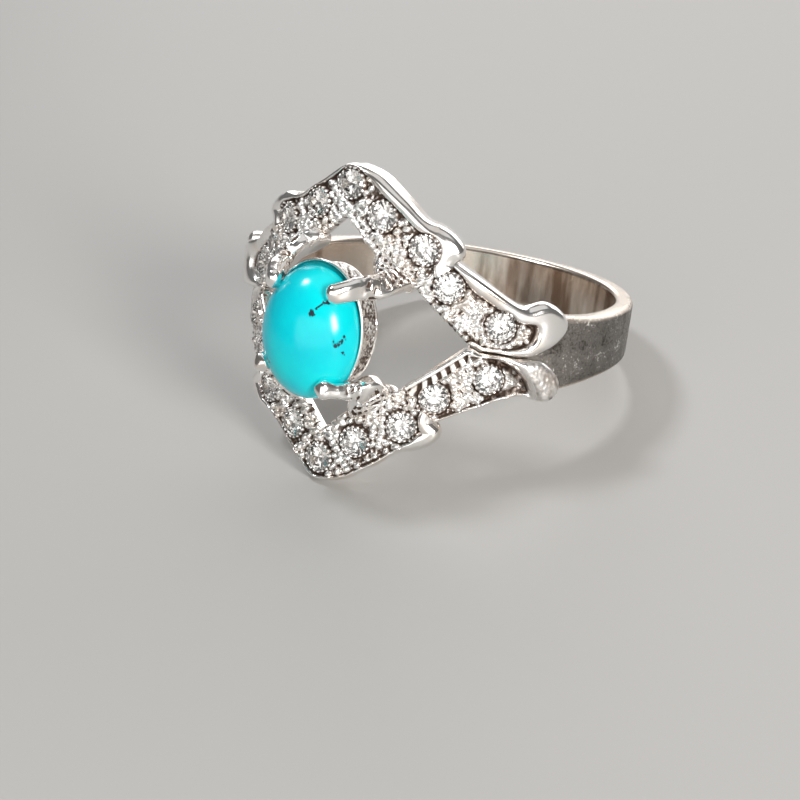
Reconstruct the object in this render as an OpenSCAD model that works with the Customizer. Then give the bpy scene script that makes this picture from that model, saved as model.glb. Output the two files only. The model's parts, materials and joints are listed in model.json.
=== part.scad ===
// Cocktail ring: an openwork lozenge head wraps the finger and carries a tall oval cabochon.
// The ring lies on its side, resting on the head's lower point and the back of the band.
// Millimetres, +Z up. The head faces -Y. The floor is z = 0.

/* [Finger band] */
// inside diameter of the finger hole
bore_d = 18; // [14:0.1:22]
// radial thickness of the band
band_t = 1; // [0.7:0.05:1.6]
// band width along the finger where it leaves the head
band_w_shoulder = 3.55; // [2:0.05:5]
// band width along the finger at the back
band_w_rear = 2.64; // [1.5:0.05:4]

/* [Openwork head] */
// radial thickness of the openwork arms
head_t = 1.5; // [1:0.05:2.2]
// height of each point of the lozenge above the middle of the finger hole
point_h = 8; // [6:0.1:11]
// width of each arm across its row of stones, at the point
arm_w = 2.5; // [1.8:0.05:3.2]
// step down from the crown arms to the shoulder arms
arm_step = 0.12; // [0.05:0.01:0.3]
// arc from the middle of the head to the end of a crown arm
crown_arc = 6.3; // [5:0.1:8]
// arc from the middle of the head to the end of a shoulder arm
shoulder_arc = 11.9; // [10:0.1:13]
// thickness of the four bars that carry the basket
bar_t = 1; // [0.6:0.05:1.4]

/* [Cabochon and basket] */
// width of the cabochon, across the finger
cab_w = 5.56; // [4:0.02:8]
// length of the cabochon, along the finger
cab_l = 6.86; // [5:0.02:10]
// height of the cabochon's dome
cab_dome = 2.17; // [1:0.01:3.5]
// thickness of the cabochon's straight edge under the dome
cab_edge = 0.3; // [0.1:0.05:0.8]
// height of the basket wall
basket_h = 1.6; // [1:0.1:3]
// thickness of the basket wall
basket_t = 0.7; // [0.4:0.05:1]
// width of a prong
prong_w = 0.76; // [0.5:0.02:1.2]

/* [Round stones] */
// diameter of each round stone
stone_d = 1.5; // [1.2:0.05:2]

/* [Hidden] */
$fn = 96;

gap = 0.02;
bore_r = bore_d / 2;
band_r = bore_r + band_t;
head_r = bore_r + head_t;
step_r = head_r - arm_step;
past = 1.5;

// the ring leans until its lower point and the back of its band share one floor
tilt = atan((point_h - band_w_rear / 2) / (bore_r + band_r));
centre_z = band_r * sin(tilt) + band_w_rear / 2 * cos(tilt);

// levels measured outward from the finger's axis at the middle of the head
basket_low = head_r - 0.2;
basket_top = basket_low + basket_h;
cab_low = basket_top + gap;
dome_low = cab_low + cab_edge;
dome_top = dome_low + cab_dome;

// the box is centred front to back
front_y = -dome_top * cos(tilt);
back_y = band_r * cos(tilt) + band_w_rear / 2 * sin(tilt);
centre_y = -(front_y + back_y) / 2;

// band
band_from = 52;
taper = (band_w_shoulder - band_w_rear) / 2 / (band_r * 1.5);

// crown arms: edge heights as a function of the arc s from the middle
flat_s = 0.75;
outer_slope = 0.686;
lobe_h = 0.55;
lobe_s = 5.3;
corner_s = 1.9;
corner_w = point_h - arm_w - 1.75;
inner_end_s = 4.1;
inner_slope = 0.55;

// shoulder arms: edge heights as a function of the arc s from the middle
waist_w = 2.4;
waist_s = 9.8;
waist_curve = 0.085;
meet_s = 7.2;
meet_slope = 0.8;
lobe_from = 10.2;
lobe_mid = 1.3;
shoulder_out_s = 5.74;
shoulder_in_s = 4.15;

stations = 12;
prong_level = 2.25;
prong_reach = 48;
prong_t = 0.56;
oval_steps = 48;
dome_steps = 10;

// stone places: arc from the middle, height
stone_places = [[1.96, 5.75], [4.3, 4.49], [5.74, 2.81], [8.36, 1.5]];
point_stone_w = point_h - 0.95;
seat_r = head_r - 0.05;

function at(r, s, w) = [r * sin(s / head_r * 180 / PI), -r * cos(s / head_r * 180 / PI), w];
function bump(x) = exp(-x * x);

function crown_out(s) = point_h - outer_slope * max(0, s - flat_s) + lobe_h * bump(s - lobe_s);
function crown_in(s) = s < corner_s
    ? point_h - arm_w - (point_h - arm_w - corner_w) * s / corner_s
    : corner_w - inner_slope * (s - corner_s);

function lobe_run(s) = max(0, s - lobe_from) / (shoulder_arc - lobe_from);
function lobe_half(s) = sqrt(max(0, 1 - lobe_run(s) * lobe_run(s)));
function shoulder_out(s) = s < waist_s
    ? waist_w + waist_curve * (waist_s - s) * (waist_s - s)
    : lobe_mid + (waist_w - lobe_mid) * lobe_half(s);
function shoulder_in(s) = s < meet_s
    ? gap / 2 + meet_slope * (meet_s - s)
    : lobe_mid - (lobe_mid - gap / 2) * lobe_half(s);

// joins rings of points, each with the same count, into a closed solid
module loft(rings) {
    n = len(rings[0]);
    m = len(rings);
    points = [for (ring = rings) for (p = ring) p];
    sides = [
        for (k = [0 : m - 2])
            for (i = [0 : n - 1])
                for (f = [
                    [k * n + i, k * n + (i + 1) % n, (k + 1) * n + i],
                    [k * n + (i + 1) % n, (k + 1) * n + (i + 1) % n, (k + 1) * n + i]
                ]) f
    ];
    low = [for (i = [1 : n - 2]) [0, i + 1, i]];
    high = [for (i = [1 : n - 2]) [(m - 1) * n, (m - 1) * n + i, (m - 1) * n + i + 1]];
    polyhedron(points, concat(low, sides, high), convexity = 6);
}

// a section through an arm, from inside the finger hole to outside the head
function section(s_in, w_in, s_out, w_out) = [
    at(bore_r - past, s_in, w_in),
    at(bore_r - past, s_out, w_out),
    at(head_r + past, s_out, w_out),
    at(head_r + past, s_in, w_in)
];

// the tube that every arm is part of
module arm_tube(r) {
    difference() {
        translate([0, 0, -point_h - 1]) cylinder(r = r, h = 2 * point_h + 2);
        translate([0, 0, -point_h - 2]) cylinder(r = bore_r, h = 2 * point_h + 4);
    }
}

// stands an object on the head's surface at arc s and height w, facing outward
module on_head(r, s, w) {
    translate(at(r, s, w)) rotate([90, 0, s / head_r * 180 / PI]) children();
}

module stone_shape(grow) {
    r = stone_d / 2 + grow;
    rotate_extrude() polygon([
        [0, -0.43 * stone_d - grow],
        [r, -0.02 * stone_d - grow],
        [r, 0.02 * stone_d],
        [r * 0.56, 0.16 * stone_d + grow],
        [0, 0.16 * stone_d + grow]
    ]);
}

module stone_seat() {
    stone_shape(gap);
    cylinder(r = stone_d / 2 + gap, h = 1);
}

module crown_band() {
    loft([
        for (i = [-stations : stations])
            let (a = inner_end_s * i / stations, b = crown_arc * i / stations)
            section(a, crown_in(abs(a)), b, crown_out(abs(b)))
    ]);
}

module crown() {
    color([0.82, 0.81, 0.79]) difference() {
        intersection() {
            arm_tube(head_r);
            crown_band();
        }
        on_head(seat_r, 0, point_stone_w) stone_seat();
        for (side = [-1, 1], k = [0, 1])
            on_head(seat_r, side * stone_places[k][0], stone_places[k][1]) stone_seat();
    }
}

module shoulder() {
    color([0.8, 0.79, 0.77]) difference() {
        intersection() {
            arm_tube(step_r);
            loft([
                for (i = [0 : stations + 4])
                    let (
                        t = 1 - pow(1 - i / (stations + 4), 1.6),
                        a = shoulder_in_s + (shoulder_arc - 0.03 - shoulder_in_s) * t,
                        b = shoulder_out_s + (shoulder_arc - 0.03 - shoulder_out_s) * t
                    )
                    section(a, shoulder_in(a), b, shoulder_out(b))
            ]);
        }
        band_space();
        for (k = [2, 3])
            on_head(seat_r - arm_step, stone_places[k][0], stone_places[k][1]) stone_seat();
    }
}

// room for the band under the end of a shoulder arm
module band_space() {
    intersection() {
        translate([0, 0, -band_w_shoulder]) cylinder(r = band_r + gap, h = 2 * band_w_shoulder);
        rotate([0, 0, band_from - 0.1]) translate([0, -2 * band_r, -band_w_shoulder])
            cube([2 * band_r, 4 * band_r, 2 * band_w_shoulder]);
    }
}

// the band's side view, wide at the shoulders and narrow at the back
module band_profile() {
    half = band_w_shoulder / 2;
    rear = band_w_rear / 2;
    front = -band_r * cos(band_from) - 1;
    rotate([90, 0, 90]) linear_extrude(4 * band_r, center = true) polygon([
        [front, -half],
        [0, -half],
        [band_r, -rear],
        [band_r + 1, -rear + taper],
        [band_r + 1, rear - taper],
        [band_r, rear],
        [0, half],
        [front, half]
    ]);
}

module shank() {
    color([0.78, 0.77, 0.75]) intersection() {
        band_profile();
        difference() {
            translate([0, 0, -band_w_shoulder]) cylinder(r = band_r, h = 2 * band_w_shoulder);
            translate([0, 0, -band_w_shoulder - 1]) cylinder(r = bore_r, h = 2 * band_w_shoulder + 2);
            translate([0, 0, -band_w_shoulder - 1]) linear_extrude(2 * band_w_shoulder + 2) polygon([
                [0, 0],
                2 * band_r * [sin(band_from), -cos(band_from)],
                [0, -4 * band_r],
                2 * band_r * [-sin(band_from), -cos(band_from)]
            ]);
        }
    }
}

// an oval ring of points at level v outward from the finger's axis
function oval(a, b, v) = [
    for (i = [0 : oval_steps - 1]) [a * cos(360 * i / oval_steps), -v, -b * sin(360 * i / oval_steps)]
];

module cabochon() {
    a = cab_w / 2;
    b = cab_l / 2;
    color([0.05, 0.78, 0.82]) loft([
        oval(a * 0.97, b * 0.97, cab_low),
        for (k = [0 : dome_steps])
            let (psi = 86 * k / dome_steps)
            oval(a * cos(psi), b * cos(psi), dome_low + cab_dome * sin(psi) / sin(86))
    ]);
}

module basket_solid(grow) {
    a = cab_w / 2 + grow;
    b = cab_l / 2 + grow;
    loft([
        oval(a - 0.35, b - 0.35, basket_low - grow),
        oval(a - 0.1, b - 0.1, basket_low + 0.5 * basket_h),
        oval(a + 0.1, b + 0.1, basket_top + grow)
    ]);
}

module basket() {
    a = cab_w / 2 - basket_t;
    b = cab_l / 2 - basket_t;
    color([0.7, 0.69, 0.67]) difference() {
        basket_solid(0);
        loft([oval(a - 0.3, b - 0.3, basket_low - 1), oval(a, b, basket_top + 1)]);
    }
}

// a bar from under a prong to the inner edge of a crown arm, made bigger by grow
module bar_solid(grow) {
    top_in = basket_top - gap + grow;
    low_in = basket_top - gap - bar_t - grow;
    start = [
        [1.0 - grow, -low_in, 3.2 + grow],
        [2.3 + grow, -low_in, 2.0 - grow],
        [2.3 + grow, -top_in, 2.0 - grow],
        [1.0 - grow, -top_in, 3.2 + grow]
    ];
    s1 = corner_s + 0.05 - grow;
    s2 = inner_end_s - 0.05 + grow;
    finish = [
        at(step_r - bar_t - grow, s1, crown_in(s1) - 2 * gap + grow),
        at(step_r - bar_t - grow, s2, crown_in(s2) - 2 * gap),
        at(step_r + grow, s2, crown_in(s2) - 2 * gap),
        at(step_r + grow, s1, crown_in(s1) - 2 * gap + grow)
    ];
    loft([for (t = [0 : 0.25 : 1]) [for (i = [0 : 3]) start[i] * (1 - t) + finish[i] * t]]);
}

module bar() {
    color([0.76, 0.75, 0.73]) difference() {
        bar_solid(0);
        basket_solid(gap);
    }
}

// the dome's surface along a prong's path, and the way out of the dome there
prong_a = cab_w / 2 * sqrt(1 - pow(2 * prong_level / cab_l, 2));
prong_h = cab_dome * sqrt(1 - pow(2 * prong_level / cab_l, 2));
function prong_foot(psi) = [prong_a * cos(psi), -dome_low - prong_h * sin(psi), prong_level];
function prong_out(psi) =
    let (
        n = [
            prong_a * cos(psi) / pow(cab_w / 2, 2),
            -prong_h * sin(psi) / pow(cab_dome, 2),
            prong_level / pow(cab_l / 2, 2)
        ]
    )
    n / norm(n);
function prong_run(psi) = [-prong_a * sin(psi), -prong_h * cos(psi), 0];

// a prong hooked over the edge of the cabochon
module prong() {
    off = prong_t / 2 + gap;
    function ring(c, n, run, shrink) =
        let (side = cross(n, run) / norm(cross(n, run)))
        [
            for (i = [0 : 11])
                c + n * prong_t / 2 * shrink * cos(30 * i) - side * prong_w / 2 * shrink * sin(30 * i)
        ];
    color([0.85, 0.84, 0.82]) difference() {
        loft([
            ring(prong_foot(0) + off * prong_out(0) + [0, 0.8, 0], prong_out(0), [0, -1, 0], 1.1),
            for (psi = [0 : 8 : prong_reach])
                ring(
                    prong_foot(psi) + off * prong_out(psi),
                    prong_out(psi),
                    prong_run(psi),
                    1 - 0.25 * pow(psi / prong_reach, 2)
                )
        ]);
        basket_solid(gap);
        bar_solid(gap);
    }
}

module stone() {
    color([0.93, 0.95, 0.98]) stone_shape(0);
}

module posed() {
    translate([0, centre_y, centre_z]) rotate([-tilt, 0, 0]) children();
}

// copies of one quadrant: left and right, upper and lower
module quadrant(side, up) {
    mirror([side < 0 ? 1 : 0, 0, 0]) mirror([0, 0, up < 0 ? 1 : 0]) children();
}

function side_name(side) = side > 0 ? "right" : "left";
function up_name(up) = up > 0 ? "upper" : "lower";

posed() {
    shank();
    basket();
    cabochon();
    for (up = [1, -1]) {
        quadrant(1, up) crown();
        quadrant(1, up) on_head(seat_r, 0, point_stone_w) stone();
    }
    for (up = [1, -1], side = [1, -1]) {
        place = str(up_name(up), "_", side_name(side));
        quadrant(side, up) shoulder();
        quadrant(side, up) bar();
        quadrant(side, up) prong();
        for (k = [0 : 3])
            quadrant(side, up)
                    on_head(seat_r - (k > 1 ? arm_step : 0), stone_places[k][0], stone_places[k][1])
                        stone();
    }
}
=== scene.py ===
import json
import math

import bmesh
import bpy
import numpy as np
from mathutils import Matrix, Vector

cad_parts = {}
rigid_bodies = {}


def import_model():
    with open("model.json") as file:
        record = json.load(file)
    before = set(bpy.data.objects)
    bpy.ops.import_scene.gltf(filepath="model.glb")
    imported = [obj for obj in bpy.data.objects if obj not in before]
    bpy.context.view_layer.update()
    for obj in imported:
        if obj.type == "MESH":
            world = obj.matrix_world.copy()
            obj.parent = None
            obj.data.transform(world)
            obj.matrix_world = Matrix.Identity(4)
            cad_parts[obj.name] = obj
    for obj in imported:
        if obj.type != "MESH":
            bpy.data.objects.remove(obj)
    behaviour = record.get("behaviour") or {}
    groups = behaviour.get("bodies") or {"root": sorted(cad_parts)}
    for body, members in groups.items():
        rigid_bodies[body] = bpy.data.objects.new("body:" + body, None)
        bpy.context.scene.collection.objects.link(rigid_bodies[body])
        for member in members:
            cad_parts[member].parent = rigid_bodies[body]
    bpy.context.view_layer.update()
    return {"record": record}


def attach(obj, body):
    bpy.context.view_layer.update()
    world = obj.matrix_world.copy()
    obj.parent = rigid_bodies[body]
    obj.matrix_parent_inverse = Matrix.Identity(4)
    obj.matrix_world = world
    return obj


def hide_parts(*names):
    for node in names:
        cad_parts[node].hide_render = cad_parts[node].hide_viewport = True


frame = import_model()

# ---------------------------------------------------------------- sizes, in mm
MM = 0.001

# the band: its inner and outer radius, and the angle from the head's middle where it starts
BORE_R = 9.0
BAND_R = 10.0
BAND_FROM = math.radians(52)
BAND_BACK_HALF = 1.46
BAND_WIDENING = 0.145
BAND_SHOULDER_SWELL = 0.36
BAND_BACK_RISE = 0.14
# how far the shoulders' ends and the band's start hang toward the lower side
DROOP = 0.3

# the head: the faces of the crown arms and of the lower shoulder arms, and the height of its points
HEAD_R = 10.5
STEP_R = 10.38
POINT_H = 8.0
INNER_ARC = 4.1

# the cabochon: half its width and length, its underside, straight edge and dome
CAB_A = 2.68
CAB_B = 3.33
CAB_LOW = 11.92
CAB_EDGE = 0.3
CAB_DOME = 2.17
CAB_SHIFT = (0.03, -0.26)
DOME_LOW = CAB_LOW + CAB_EDGE

# the basket: its foot and top, half its width and length, and its place along the finger
BASKET_LOW = 10.3
BASKET_TOP = 11.9
BASKET_A = 2.78
BASKET_B = 3.43
BASKET_SHIFT = -0.12

# the round stones: places are (arc from the middle, height)
STONE_R = 0.70
STONES = [(1.96, 5.75), (4.3, 4.49), (5.74, 2.81), (8.36, 1.5)]
POINT_STONE = (0.0, 7.05)
STONE_SINK = 0.02

# the cast grains: their mean radius and spacing, and the collar round each stone
GRAIN_R = 0.19
PITCH = 0.37
RING_R = STONE_R + 0.05

# the beads along the upper arms' inner edges
BEAD_DEPTH = 0.07
BEAD_PITCH = 0.36

# the finger hole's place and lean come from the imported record
hole = frame["record"]["mounts"][0]
CENTRE = np.array(hole["pos_m"]) / MM
LEAN = np.array(hole["axis"])
OUT = np.array([0.0, -LEAN[2], LEAN[1]])


def world(u, w, v):
    """u to the right, w along the finger, v out of the head, in mm, as points in the frame in metres."""
    u, w, v = np.broadcast_arrays(u, w, v)
    p = np.empty(u.shape + (3,))
    p[..., 0] = u
    p[..., 1] = v * OUT[1] + w * LEAN[1] + CENTRE[1]
    p[..., 2] = v * OUT[2] + w * LEAN[2] + CENTRE[2]
    return p * MM


def wrapped(s, w, r):
    """A place on the head: s is the arc from its middle, w the height, r the distance from the axis."""
    a = s / HEAD_R
    return world(r * np.sin(a), w, r * np.cos(a))


def smooth(x, lo, hi):
    t = np.clip((x - lo) / (hi - lo), 0, 1)
    return t * t * (3 - 2 * t)


def lattice(x, y, z, seed):
    out = np.zeros(x.shape)
    xi, yi, zi = np.floor(x), np.floor(y), np.floor(z)
    xf, yf, zf = x - xi, y - yi, z - zi
    xf, yf, zf = (f * f * (3 - 2 * f) for f in (xf, yf, zf))
    for dx in (0, 1):
        for dy in (0, 1):
            for dz in (0, 1):
                k = (xi + dx) * 127.1 + (yi + dy) * 311.7 + (zi + dz) * 74.7 + seed * 19.19
                v = np.modf(np.sin(k) * 43758.5453)[0]
                out += v * (xf if dx else 1 - xf) * (yf if dy else 1 - yf) * (zf if dz else 1 - zf)
    return out


def noise(x, y, z=0.0, seed=0):
    """Smooth noise from about -1 to 1, the same on every run. Two turned lattices hide each other's lines."""
    x, y, z = np.broadcast_arrays(x, y, z)
    a = lattice(x * 0.83 + y * 0.56, y * 0.83 - x * 0.56, z, seed)
    b = lattice(x * 0.42 - y * 0.91 + 7.3, y * 0.42 + x * 0.91 - z * 0.3, z + x * 0.2, seed + 40)
    return 0.75 * (a + b)


# ---------------------------------------------------------------- mesh helpers
class Shell:
    """Grids of points that share their borders, gathered into one closed mesh."""

    def __init__(self):
        self.points, self.faces, self.marks, self.n = [], [], [], 0

    def grid(self, pts, marks, flip=False, wrap_i=False, wrap_j=False):
        ni, nj = pts.shape[:2]
        idx = np.arange(ni * nj).reshape(ni, nj) + self.n
        if wrap_i:
            idx = np.vstack([idx, idx[:1]])
        if wrap_j:
            idx = np.hstack([idx, idx[:, :1]])
        a, b, c, d = idx[:-1, :-1], idx[1:, :-1], idx[1:, 1:], idx[:-1, 1:]
        q = np.stack([a, d, c, b] if flip else [a, b, c, d], axis=-1).reshape(-1, 4)
        self.faces.append(q)
        self.points.append(pts.reshape(-1, 3))
        self.marks.append(np.broadcast_to(marks, pts.shape[:2] + (2,)).reshape(-1, 2))
        self.n += ni * nj

    def build(self, name):
        pts = np.concatenate(self.points)
        marks = np.concatenate(self.marks)
        faces = np.concatenate(self.faces)
        key = np.round(pts / 1e-8).astype(np.int64)
        _, first, back = np.unique(key, axis=0, return_index=True, return_inverse=True)
        faces = back.reshape(-1)[faces]
        pts, marks = pts[first], marks[first]
        polys = []
        for f in faces.tolist():
            g = [f[k] for k in range(4) if f[k] != f[k - 1]]
            if len(g) >= 3 and len(set(g)) == len(g):
                polys.append(g)
        return make(name, pts, polys, marks)


def make(name, pts, polys, marks=None, smooth_faces=True):
    me = bpy.data.meshes.new(name)
    me.from_pydata(np.asarray(pts).tolist(), [], polys)
    me.validate()
    if marks is not None and len(me.vertices) == len(marks):
        for k, label in enumerate(("bright", "polish")):
            at = me.attributes.new(label, "FLOAT", "POINT")
            at.data.foreach_set("value", np.ascontiguousarray(marks[:, k], dtype=np.float32))
    me.polygons.foreach_set("use_smooth", [smooth_faces] * len(me.polygons))
    me.update()
    o = bpy.data.objects.new(name, me)
    bpy.context.scene.collection.objects.link(o)
    return o


def settle(o, node, material):
    """The piece stands for its CAD node, rides with the ring and takes its finish."""
    o.data.materials.append(material)
    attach(o, "root")
    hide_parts(node)
    return o


def spaced(n, ease):
    """n values from 0 to 1, closer together at both ends as ease goes up to 1."""
    t = np.linspace(0, 1, n)
    return t * (1 - ease) + (0.5 - 0.5 * np.cos(np.pi * t)) * ease


# ---------------------------------------------------------------- node materials
def new_material(name):
    m = bpy.data.materials.new(name)
    m.use_nodes = True
    t = m.node_tree
    t.nodes.clear()
    out = t.nodes.new("ShaderNodeOutputMaterial")
    sh = t.nodes.new("ShaderNodeBsdfPrincipled")
    t.links.new(sh.outputs[0], out.inputs[0])
    return m, t, sh


class Nodes:
    """Short names for the nodes that the materials share."""

    def __init__(self, tree):
        self.t = tree
        self.place = tree.nodes.new("ShaderNodeTexCoord").outputs["Object"]

    def put(self, socket, value):
        if isinstance(value, bpy.types.NodeSocket):
            self.t.links.new(value, socket)
        else:
            socket.default_value = value

    def noise(self, scale, detail, rough, distort=0.0):
        n = self.t.nodes.new("ShaderNodeTexNoise")
        n.inputs["Scale"].default_value = scale
        n.inputs["Detail"].default_value = detail
        n.inputs["Roughness"].default_value = rough
        n.inputs["Distortion"].default_value = distort
        self.put(n.inputs["Vector"], self.place)
        return n.outputs["Fac"]

    def mark(self, label):
        a = self.t.nodes.new("ShaderNodeAttribute")
        a.attribute_name = label
        return a.outputs["Fac"]

    def math(self, op, a, b, c=0.0):
        n = self.t.nodes.new("ShaderNodeMath")
        n.operation = op
        for k, v in enumerate((a, b, c)):
            self.put(n.inputs[k], v)
        return n.outputs[0]

    def ramp(self, fac, lo, hi, a=0.0, b=1.0):
        n = self.t.nodes.new("ShaderNodeMapRange")
        n.interpolation_type = "SMOOTHSTEP"
        self.put(n.inputs["Value"], fac)
        for k, v in zip(("From Min", "From Max", "To Min", "To Max"), (lo, hi, a, b)):
            n.inputs[k].default_value = v
        return n.outputs["Result"]

    def mix(self, fac, a, b):
        n = self.t.nodes.new("ShaderNodeMix")
        n.data_type = "RGBA"
        self.put(n.inputs[0], fac)
        self.put(n.inputs[6], a)
        self.put(n.inputs[7], b)
        return n.outputs[2]

    def mix_value(self, fac, a, b):
        n = self.t.nodes.new("ShaderNodeMix")
        n.data_type = "FLOAT"
        self.put(n.inputs[0], fac)
        self.put(n.inputs[2], a)
        self.put(n.inputs[3], b)
        return n.outputs[0]

    def bump(self, height, depth):
        n = self.t.nodes.new("ShaderNodeBump")
        n.inputs["Strength"].default_value = 1.0
        n.inputs["Distance"].default_value = depth
        self.t.links.new(height, n.inputs["Height"])
        return n.outputs[0]


SILVER = (0.97, 0.955, 0.935, 1)
WARM = (0.84, 0.76, 0.69, 1)
# dark brown painted shade for the silver's recesses
RECESS_SHADE_BROWN = (0.115, 0.082, 0.064, 1)
# the band's sand: painted shade for its pits, its grey, and painted glints for its tops
SAND_PIT_SHADE = (0.045, 0.040, 0.034, 1)
SAND_GREY = (0.21, 0.197, 0.18, 1)
SAND_PAINTED_GLINT = (0.92, 0.90, 0.87, 1)
# the brown of the streaks inside the band
INSIDE_BROWN = (0.31, 0.21, 0.15, 1)
INSIDE_SILVER = (0.82, 0.73, 0.64, 1)
CYAN_DEEP = (0.0, 0.52, 0.64, 1)
CYAN = (0.0, 0.66, 0.70, 1)
CYAN_GREEN = (0.0, 0.54, 0.44, 1)
CYAN_PALE = (0.0, 0.76, 0.80, 1)
MATRIX_DARK = (0.010, 0.022, 0.040, 1)
CLEAR = (0.995, 0.985, 0.97, 1)
CLEAR_WARM = (0.97, 0.935, 0.90, 1)


def silver(name, rough_bright=0.16, rough_grain=0.3, bump_depth=6e-6, stain_scale=2600, stain_gain=0.5):
    """Cast silver: light and shade painted into its colour, bright where the bright mark is high and a dark
    brown painted shade in its recesses, which are also rougher.
    """
    m, t, sh = new_material(name)
    n = Nodes(t)
    bright, polish = n.mark("bright"), n.mark("polish")
    stain = n.noise(stain_scale, 5, 0.6)
    tarnish = n.noise(700, 3, 0.5)
    level = n.math("ADD", bright, n.math("MULTIPLY_ADD", stain, stain_gain, -0.5 * stain_gain))
    out_of_shade = n.ramp(level, 0.18, 0.72)
    tone = n.mix(n.ramp(tarnish, 0.42, 0.70, 0.0, 0.8), SILVER, WARM)
    # painted shade: the colour turns dark brown where the bright mark is low, in recesses, grooves and pits
    n.put(sh.inputs["Base Color"], n.mix(out_of_shade, RECESS_SHADE_BROWN, tone))
    sh.inputs["Metallic"].default_value = 1.0
    grain = n.noise(9000, 3, 0.6)
    rough = n.mix_value(polish, n.math("MULTIPLY_ADD", grain, 0.25, rough_grain - 0.1),
                        n.math("MULTIPLY_ADD", stain, 0.12, rough_bright - 0.04))
    n.put(sh.inputs["Roughness"], n.mix_value(out_of_shade, 0.62, rough))
    depth = n.math("MULTIPLY", grain, n.mix_value(polish, 1.0, 0.12))
    n.put(sh.inputs["Normal"], n.bump(depth, bump_depth))
    return m


def sandy(name):
    """The band: sandblasted outside, grey with painted shade in the sand's pits and painted glints on its
    tops; polished inside, with brown streaks.
    """
    m, t, sh = new_material(name)
    n = Nodes(t)
    polish, bright = n.mark("polish"), n.mark("bright")
    sand = n.noise(7000, 6, 0.75)
    patch = n.noise(900, 4, 0.6)
    level = n.math("ADD", bright, n.math("MULTIPLY_ADD", sand, 2.6, -1.3))
    # painted shade: the speckle darkens to near black in the sand's pits
    outside = n.mix(n.ramp(level, -0.1, 0.6), SAND_PIT_SHADE, SAND_GREY)
    # painted glints: the brightest speckles turn near white
    outside = n.mix(n.ramp(level, 0.76, 1.0), outside, SAND_PAINTED_GLINT)
    # inside: brown in streaks, lighter where the bright mark is high
    inside_mix = n.math("ADD", bright, n.math("MULTIPLY_ADD", patch, 0.4, -0.2))
    inside = n.mix(inside_mix, INSIDE_BROWN, INSIDE_SILVER)
    n.put(sh.inputs["Base Color"], n.mix(polish, outside, inside))
    sh.inputs["Metallic"].default_value = 1.0
    n.put(sh.inputs["Roughness"], n.mix_value(polish, n.math("MULTIPLY_ADD", patch, 0.2, 0.3),
                                              n.math("MULTIPLY_ADD", patch, 0.16, 0.16)))
    depth = n.math("MULTIPLY", sand, n.mix_value(polish, 1.0, 0.06))
    n.put(sh.inputs["Normal"], n.bump(depth, 7e-5))
    return m


def turquoise(name, spots):
    """Polished turquoise: even cyan with cloudy drifts and a few small dark matrix spots."""
    m, t, sh = new_material(name)
    n = Nodes(t)
    cloud = n.noise(260, 4, 0.5)
    fine = n.noise(1800, 5, 0.6)
    green = n.noise(420, 3, 0.5, distort=0.6)
    base = n.mix(n.ramp(cloud, 0.35, 0.68), CYAN_DEEP, CYAN)
    base = n.mix(n.ramp(green, 0.62, 0.8, 0.0, 0.5), base, CYAN_GREEN)
    base = n.mix(n.ramp(fine, 0.55, 0.8, 0.0, 0.18), base, CYAN_PALE)
    # the spots' edges waver by up to this much, in metres
    waver = 0.00021
    wobble = n.math("MULTIPLY_ADD", n.noise(8500, 5, 0.7), -2 * waver, waver)
    dark = None
    for centre, radius in spots:
        v = t.nodes.new("ShaderNodeVectorMath")
        v.operation = "DISTANCE"
        t.links.new(n.place, v.inputs[0])
        v.inputs[1].default_value = centre
        spot = n.ramp(n.math("ADD", wobble, v.outputs["Value"]), 0.72 * radius, radius, 1.0, 0.0)
        dark = spot if dark is None else n.math("MAXIMUM", dark, spot)
    n.put(sh.inputs["Base Color"], n.mix(dark, base, MATRIX_DARK))
    n.put(sh.inputs["Roughness"], n.mix_value(dark, n.math("MULTIPLY_ADD", fine, 0.06, 0.15), 0.45))
    sh.inputs["Specular IOR Level"].default_value = 0.38
    sh.inputs["Subsurface Weight"].default_value = 0.08
    sh.inputs["Subsurface Radius"].default_value = (0.0002, 0.0005, 0.0006)
    sh.inputs["Subsurface Scale"].default_value = 1.0
    pit = n.math("SUBTRACT", n.math("MULTIPLY", fine, 0.25), dark)
    n.put(sh.inputs["Normal"], n.bump(pit, 1.5e-5))
    return m


def brilliant(name):
    """Clear faceted stone, with a trace of warm tint and faint clouds."""
    m, t, sh = new_material(name)
    n = Nodes(t)
    cloud = n.noise(900, 3, 0.5)
    n.put(sh.inputs["Base Color"], n.mix(n.ramp(cloud, 0.4, 0.7), CLEAR, CLEAR_WARM))
    n.put(sh.inputs["Roughness"], n.math("MULTIPLY", cloud, 0.03))
    sh.inputs["IOR"].default_value = 2.15
    sh.inputs["Transmission Weight"].default_value = 1.0
    return m


# ---------------------------------------------------------------- the head's outline
def crown_out(s, full, tip=0.0):
    """The outer edge. full fills the arm out between point and end lobe, and tip adds to the point."""
    a = np.abs(s)
    lean = full * smooth(a, 0.2, 2.0) * (1 - smooth(a, 3.2, 4.8)) + tip * np.exp(-(a / 1.5) ** 2)
    return POINT_H + 0.02 - 0.74 * (np.sqrt(a * a + 1.44) - 1.2) + 0.75 * np.exp(-(a - 5.4) ** 2) + lean


def crown_in(s):
    s = np.abs(s)
    return np.where(s < 1.9, 5.5 - 1.75 * s / 1.9, 3.75 - 0.55 * (s - 1.9))


def shoulder_out(s):
    return 2.33 + 0.25 * (9.5 - s + np.sqrt((9.5 - s) ** 2 + 0.3))


def shoulder_in(s):
    return 0.01 + 0.8 * np.maximum(0, 7.2 - s)


def droop(s):
    """The shoulders' ends hang a little toward the lower side."""
    return -DROOP * smooth(s, 7.0, 11.5)


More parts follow.
